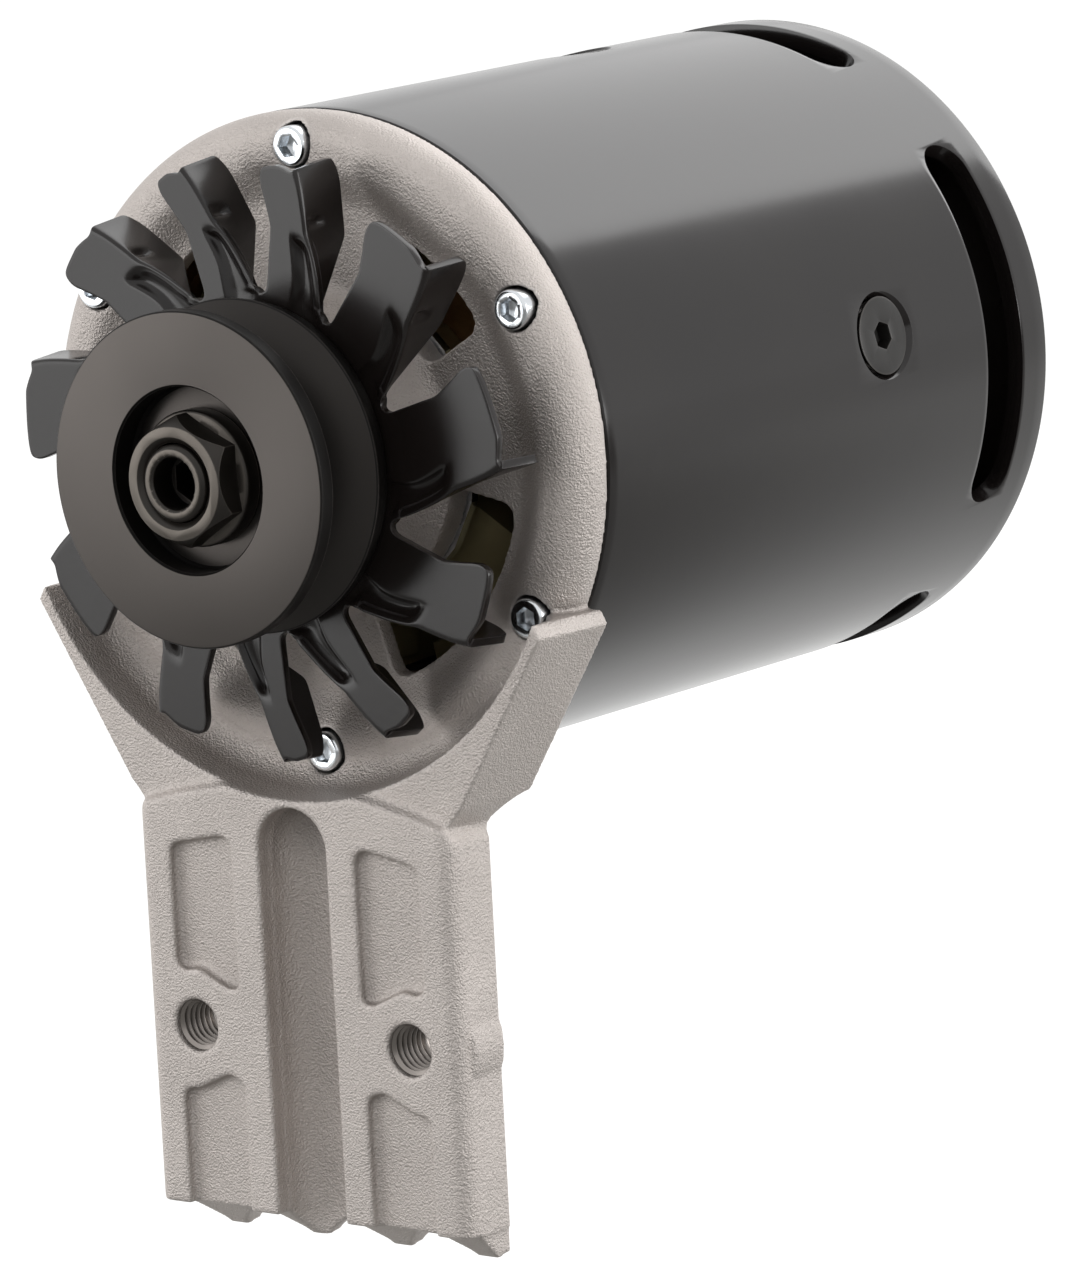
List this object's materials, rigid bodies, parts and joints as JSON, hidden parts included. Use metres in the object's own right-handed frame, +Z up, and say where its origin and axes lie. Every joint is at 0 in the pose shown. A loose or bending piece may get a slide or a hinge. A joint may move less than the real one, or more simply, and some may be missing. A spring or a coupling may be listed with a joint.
{
  "type": "generator alternator head",
  "caption": "Belt driven generator alternator head with open fan, black case tube and a cast drive end bracket whose leg bolts it up.",
  "frame": {"origin": "The middle between the two tapped holes on the front face of the leg, in that face's plane.", "axes": "+Z up from the leg to the case, +Y from the pulley to the rear along the shaft, +X to the right as seen from the pulley."},
  "size_m": [0.13, 0.2, 0.2197],
  "materials": {
    "cast_aluminium": "fine cast and blasted",
    "gloss_black_paint": "gloss",
    "satin_black_paint": "satin",
    "black_oxide_steel": "black oxide",
    "zinc_plated_steel": "bright zinc",
    "bare_steel": "machined",
    "gold_varnished_steel": "varnished",
    "enamelled_wire": "enamel",
    "lamination_steel": "laminated",
    "copper": "turned",
    "carbon_brush": "dull",
    "black_moulding": "moulded",
    "pale_insulator": "moulded"
  },
  "bodies": {
    "frame": {"drive_end_bracket": "cast_aluminium", "case_tube": "gloss_black_paint", "rear_frame": "cast_aluminium", "stator_core": "lamination_steel", "stator_winding_front": "enamelled_wire", "stator_winding_rear": "enamelled_wire", "bearing_retainer": "zinc_plated_steel", "front_bearing_outer_race": "bare_steel", "rear_bearing_outer_race": "bare_steel", "brush_holder": "black_moulding", "regulator": "black_moulding", "negative_heat_sink": "bare_steel", "positive_heat_sink": "bare_steel", "output_stud": "zinc_plated_steel", "output_bush": "pale_insulator", "output_nut": "zinc_plated_steel", "plug_socket": "black_moulding", "end_cover": "satin_black_paint", "brush_spring_1": "bare_steel", "brush_spring_2": "bare_steel", "rim_screw_1": "zinc_plated_steel", "rim_screw_2": "zinc_plated_steel", "rim_screw_3": "zinc_plated_steel", "rim_screw_4": "zinc_plated_steel", "rim_screw_5": "zinc_plated_steel", "rim_screw_6": "zinc_plated_steel", "case_screw_1": "black_oxide_steel", "case_screw_2": "black_oxide_steel", "case_screw_3": "black_oxide_steel", "case_screw_4": "black_oxide_steel", "retainer_screw_1": "zinc_plated_steel", "retainer_screw_2": "zinc_plated_steel", "retainer_screw_3": "zinc_plated_steel", "cover_screw_1": "zinc_plated_steel", "cover_screw_2": "zinc_plated_steel", "cover_screw_3": "zinc_plated_steel", "sink_insulator_1": "pale_insulator", "sink_insulator_2": "pale_insulator", "sink_insulator_3": "pale_insulator"},
    "rotor": {"shaft": "bare_steel", "pulley": "satin_black_paint", "pulley_nut": "black_oxide_steel", "fan": "satin_black_paint", "fan_spacer": "bare_steel", "front_bearing_inner_race": "bare_steel", "rear_bearing_inner_race": "bare_steel", "front_claw_pole": "gold_varnished_steel", "rear_claw_pole": "gold_varnished_steel", "field_coil": "enamelled_wire", "slip_ring_carrier": "black_moulding", "slip_ring_front": "copper", "slip_ring_rear": "copper"},
    "front_ball_set": {"front_bearing_balls": "zinc_plated_steel"},
    "rear_ball_set": {"rear_bearing_balls": "zinc_plated_steel"},
    "brush_one": {"brush_1": "carbon_brush"},
    "brush_two": {"brush_2": "carbon_brush"}
  },
  "joints": [
    {"name": "rotor_spin", "type": "hinge", "parent": "frame", "child": "rotor", "pos_m": [0, 0, 0.113], "axis": [0, 1, 0], "continuous": true},
    {"name": "front_balls_spin", "type": "hinge", "parent": "frame", "child": "front_ball_set", "pos_m": [0, 0, 0.113], "axis": [0, 1, 0], "continuous": true},
    {"name": "rear_balls_spin", "type": "hinge", "parent": "frame", "child": "rear_ball_set", "pos_m": [0, 0, 0.113], "axis": [0, 1, 0], "continuous": true},
    {"name": "brush_1_slide", "type": "slide", "parent": "frame", "child": "brush_one", "axis": [0, 0, 1], "range_m": [0, 0.004], "stiffness_N_per_m": 300, "springref_m": -0.006, "deforming": ["brush_spring_1"]},
    {"name": "brush_2_slide", "type": "slide", "parent": "frame", "child": "brush_two", "axis": [0, 0, 1], "range_m": [0, 0.004], "stiffness_N_per_m": 300, "springref_m": -0.006, "deforming": ["brush_spring_2"]}
  ],
  "couplings": [
    {"joint": "front_balls_spin", "follows": "rotor_spin", "ratio": 0.378},
    {"joint": "rear_balls_spin", "follows": "rotor_spin", "ratio": 0.4113}
  ]
}
